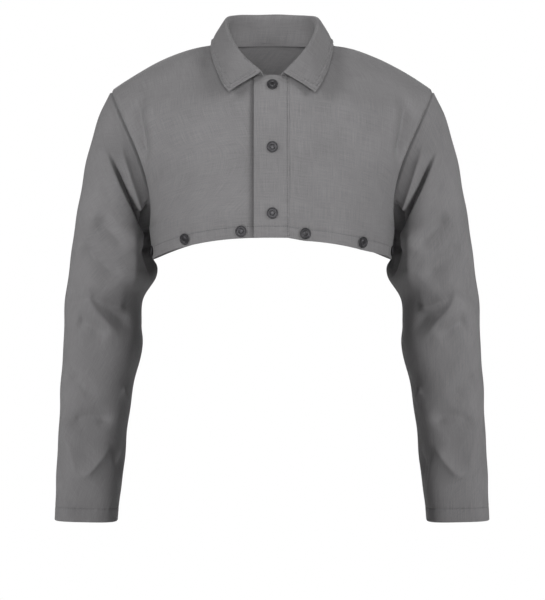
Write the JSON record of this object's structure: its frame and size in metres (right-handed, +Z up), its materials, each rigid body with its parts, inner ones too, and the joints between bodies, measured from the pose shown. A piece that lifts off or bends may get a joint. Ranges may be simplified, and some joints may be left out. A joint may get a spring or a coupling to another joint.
{
  "type": "welding cape sleeve",
  "caption": "Cropped cape with a turned-down collar, snap front and long sleeves in dark grey flame-resistant cotton, in its worn shape, with snaps along the front hem for a bib.",
  "frame": {"origin": "centre of the neck base, level with the neck ends of the shoulder seams", "axes": "+Z up as worn, -Y is the front, +X is the wearer's left"},
  "size_m": [0.6262, 0.2613, 0.7372],
  "materials": {
    "cloth": "matt dark grey twill",
    "snaps": "dark gunmetal, satin"
  },
  "bodies": {
    "root": {"back_panel": "cloth", "front_right": "cloth", "front_left": "cloth", "front_placket": "cloth", "collar": "cloth", "sleeve_left": "cloth", "sleeve_right": "cloth", "front_snap_1": "snaps", "front_snap_2": "snaps", "front_snap_3": "snaps", "front_stud_1": "snaps", "front_stud_2": "snaps", "front_stud_3": "snaps", "hem_snap_1": "snaps", "hem_snap_2": "snaps", "hem_snap_3": "snaps", "hem_snap_4": "snaps", "hem_snap_5": "snaps", "hem_snap_6": "snaps"}
  },
  "joints": []
}
